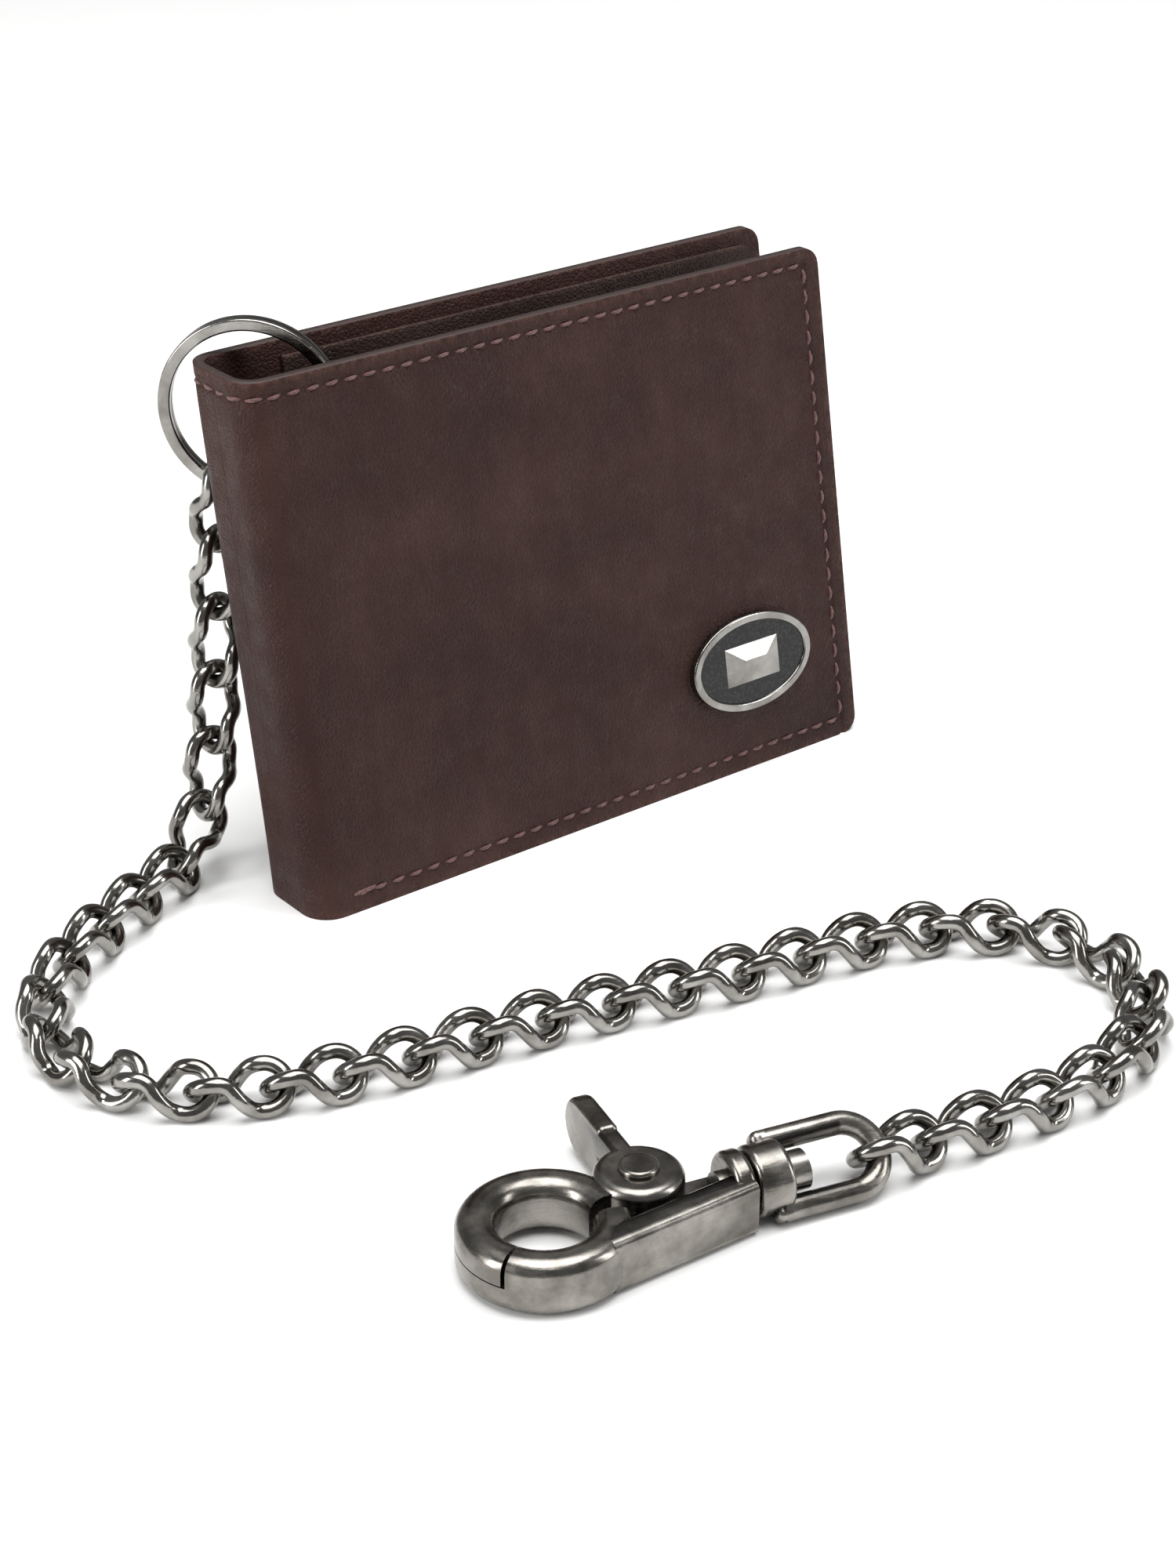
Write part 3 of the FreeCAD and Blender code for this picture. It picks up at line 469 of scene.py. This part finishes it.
def stitch(mesh, centre, direction, outward):
    """One stitch: a short thread whose ends dive into the leather."""
    side = direction.cross(outward).normalized()
    rings = []
    for k in range(THREAD_SECTIONS):
        t = k / (THREAD_SECTIONS - 1)
        bow = math.sin(math.pi * t)
        radius = THREAD * (0.55 + 0.45 * bow)
        spot = centre + direction * ((t - 0.5) * STITCH_LONG) + outward * (THREAD * (1.3 * bow - 0.85))
        ring = []
        for n in range(THREAD_SIDES):
            angle = 2 * math.pi * n / THREAD_SIDES
            aside = side * math.cos(angle) + outward * math.sin(angle)
            ring.append(mesh.verts.new(spot + aside * radius))
        rings.append(ring)
    for one, two in zip(rings, rings[1:]):
        for n in range(THREAD_SIDES):
            after = (n + 1) % THREAD_SIDES
            mesh.faces.new((one[n], one[after], two[after], two[n]))
    mesh.faces.new(rings[0][::-1])
    mesh.faces.new(rings[-1])


def sew(name, path, inward_sign):
    """The stitches along the top, the open edge and the foot of a cover."""
    far = measured(path)
    total = far[-1]
    mesh = bmesh.new()

    def spot(distance, height):
        point, heading = along(path, far, distance)
        outward = Vector((heading.y, -heading.x, 0)) * inward_sign
        place = Vector((point.x, point.y, 0)) + UP * height - outward * (SEAM_SINK * 0.8)
        return place, heading, outward

    tall = RISE / math.cos(LEAN)
    slant = 0.10

    def run(start, stop, height, level):
        count = int((stop - start) / STITCH_PITCH)
        for k in range(count + 1):
            at = start + (stop - start) * k / count
            place, heading, outward = spot(at, height) if level else spot(height, at)
            way = (heading + UP * slant).normalized() if level else (UP + heading * slant).normalized()
            stitch(mesh, place, way, outward)

    side = total - SEAM_SIDE
    run(STITCH_PITCH / 2, side - STITCH_PITCH * 0.6, tall - SEAM_TOP, True)
    run(SEAM_FOOT + STITCH_PITCH * 0.6, tall - SEAM_TOP - STITCH_PITCH * 0.6, side, False)
    run(far[-2] + SEWN_FROM, side - STITCH_PITCH * 0.6, SEAM_FOOT, True)
    for k in range(BACK_STITCHES):
        place, heading, outward = spot(far[-2] + (3.0 + 0.9 * k) * MM, SEAM_FOOT + 0.25 * MM)
        stitch(mesh, place, (heading + UP * 0.25).normalized(), outward)
    return made(name, mesh, THREAD_LOOK)


def eyelet_hole(leather_piece):
    """Cut the leather where the eyelet goes through it."""
    low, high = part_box("eyelet")
    place = Matrix.Translation((low + high) / 2) @ INTO.to_track_quat("Z", "Y").to_matrix().to_4x4()
    mesh = bmesh.new()
    size = {"radius1": EYELET_HOLE, "radius2": EYELET_HOLE, "depth": CUTTER_LONG}
    bmesh.ops.create_cone(mesh, cap_ends=True, segments=CUTTER_SIDES, matrix=place, **size)
    cutter = made("eyelet_cutter", mesh)
    hole = leather_piece.modifiers.new("hole", "BOOLEAN")
    hole.operation = "DIFFERENCE"
    hole.solver = "EXACT"
    hole.object = cutter
    apply_modifiers(leather_piece)
    bpy.data.objects.remove(cutter)


def outer_leather():
    """Front and back leather with their sewing, meeting in the middle of the spine."""
    front = sheet_mesh("outer_leather_front", front_path(), 1)
    front_thread = sew("front_stitching", front_path(), 1)
    for item in (front, front_thread):
        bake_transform(item)
    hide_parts("front_cover")
    back = sheet_mesh("outer_leather_back", back_path(), -1)
    eyelet_hole(back)
    back_thread = sew("back_stitching", back_path(), -1)
    for item in (back, back_thread):
        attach(item, "back_half")
    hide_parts("back_cover", "spine_leather")


# ------------------------------------------------------------------ inside the wallet


def inner_panel(node, body, look, turned_top):
    """A lining or pocket panel in the place of its CAD node, with rounded corners and a turned top edge."""
    low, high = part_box(node)
    tall = (high.z - low.z) / math.cos(LEAN)
    thick = (high.y - low.y) - (high.z - low.z) * SLOPE
    wide = high.x - low.x
    columns = spaced(wide, PANEL_FINE, PANEL_COARSE, PANEL_EDGE)
    rows = spaced(tall, PANEL_FINE, PANEL_COARSE, PANEL_EDGE)
    mesh = bmesh.new()
    wear = mesh.verts.layers.float.new("wear")
    grids = []
    for depth in (0.0, thick):
        grid = []
        for x in columns:
            line = []
            corner = max(0.0, PANEL_CORNER - (wide - x))
            cut = PANEL_CORNER - math.sqrt(max(0.0, PANEL_CORNER**2 - corner**2))
            for z in rows:
                height = cut + (tall - 2 * cut) * z / tall
                hem = HEM_DEEP if turned_top and tall - height > HEM_TALL else 0.0
                away = depth + (hem if depth == 0.0 else -hem)
                place = Vector((low.x + x, low.y + away, low.z)) + UP * height
                vertex = mesh.verts.new(place)
                vertex[wear] = max(0.0, 1 - (tall - height) / TOP_WEAR) * 0.6
                line.append(vertex)
            grid.append(line)
        grids.append(grid)
    skin(mesh, *grids)
    piece = made(f"{node}_panel", mesh, look)
    soften(piece, thick * 0.3, 2)
    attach(piece, body)
    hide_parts(node)


def spine_channel():
    """The lining inside the fold: a thin sheet round both corners of the spine."""
    low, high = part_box("spine_lining")
    panel_low, panel_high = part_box("front_lining")
    thick = (panel_high.y - panel_low.y) - (panel_high.z - panel_low.z) * SLOPE
    foot, top = low.z / math.cos(LEAN), high.z / math.cos(LEAN)
    mesh = bmesh.new()
    grids = []
    for depth in (LEATHER, LEATHER + thick):
        radius = SPINE_CORNER - depth
        first = quarter((LEFT + SPINE_CORNER, FRONT + SPINE_CORNER), radius, 270, 180)
        second = quarter((LEFT + SPINE_CORNER, BACK - SPINE_CORNER), radius, 180, 90)
        path = [Vector((high.x, FRONT + depth, 0)), *first, *second, Vector((high.x, BACK - depth, 0))]
        levels = [foot + d for d in spaced(top - foot, PANEL_FINE, PANEL_COARSE, PANEL_EDGE)]
        grids.append([[mesh.verts.new(point + UP * level) for level in levels] for point in path])
    skin(mesh, *grids)
    piece = made("spine_lining_channel", mesh, LINING)
    soften(piece, thick * 0.25, 2)
    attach(piece, "back_half")
    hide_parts("spine_lining")


def inside():
    """Linings and card pockets of both halves."""
    spine_channel()
    for half in ("front", "back"):
        inner_panel(f"{half}_lining", f"{half}_half", LINING, False)
        for layer in (1, 2, 3):
            inner_panel(f"{half}_card_pocket_{layer}", f"{half}_half", POCKET, True)


def dress_metal():
    """Materials for the metal pieces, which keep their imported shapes."""
    for name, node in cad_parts.items():
        if name == "badge_enamel":
            look = ENAMEL
        elif name == "trigger_spring":
            look = SPRING
        elif name.startswith(("chain_link", "split_ring", "badge")):
            look = POLISHED
        else:
            look = ANTIQUE
        node.data.materials.clear()
        node.data.materials.append(look)


# ------------------------------------------------------------------ floor, light and camera


def plain(name, colour, roughness):
    """A plain studio surface with the least mottling."""
    m = Nodes(name)
    low = tuple(c * 0.985 for c in colour)
    m.feed("Base Color", m.ramp(m.noise(3), (0.3, low), (0.7, colour)))
    m.set(Roughness=roughness)
    return m.material


def floor():
    """A pale floor that reaches past the view."""
    mesh = bpy.data.meshes.new("floor")
    far = FLOOR_HALF
    corners = [(-far, -far, 0), (far, -far, 0), (far, far, 0), (-far, far, 0)]
    mesh.from_pydata(corners, [], [(0, 1, 2, 3)])
    mesh.materials.append(plain("pale_floor", (0.93, 0.93, 0.925), 0.75))
    ground = bpy.data.objects.new("floor", mesh)
    bpy.context.scene.collection.objects.link(ground)


def softbox(name, place, target, wide, high, power):
    """A rectangular light that faces a point."""
    lamp = bpy.data.lights.new(name, "AREA")
    lamp.shape = "RECTANGLE"
    lamp.size = wide
    lamp.size_y = high
    lamp.energy = power
    holder = bpy.data.objects.new(name, lamp)
    holder.location = place
    holder.rotation_euler = (Vector(target) - Vector(place)).to_track_quat("-Z", "Y").to_euler()
    bpy.context.scene.collection.objects.link(holder)


def studio():
    """Soft light from above and both sides, in a dim surround."""
    world = bpy.data.worlds.new("studio")
    bpy.context.scene.world = world
    world.use_nodes = True
    surround = world.node_tree.nodes["Background"]
    surround.inputs["Color"].default_value = (1.0, 1.0, 1.0, 1)
    surround.inputs["Strength"].default_value = SURROUND
    softbox("over", (0.05, -0.1, 1.3), LIT_POINT, 1.3, 1.1, 24)
    softbox("left", (-1.1, 0.15, 0.45), LIT_POINT, 0.3, 0.8, 9)
    softbox("right", (0.75, -0.85, 0.5), LIT_POINT, 0.2, 0.7, 4)


def camera():
    """A camera at the object's front left, looking down at it."""
    lens = bpy.data.cameras.new("camera")
    lens.sensor_width = CAMERA_SENSOR
    lens.lens = CAMERA_LENS
    lens.clip_start = 0.01
    view = bpy.data.objects.new("camera", lens)
    forward = CAMERA_AIM.normalized()
    across = forward.cross(Vector((0, 0, 1))).normalized()
    upward = across.cross(forward)
    turn = Matrix((across, upward, -forward)).transposed().to_4x4()
    view.matrix_world = Matrix.Translation(CAMERA_PLACE) @ turn
    bpy.context.scene.collection.objects.link(view)
    bpy.context.scene.camera = view


bpy.context.scene.view_settings.view_transform = "Standard"
outer_leather()
inside()
dress_metal()
floor()
studio()
camera()
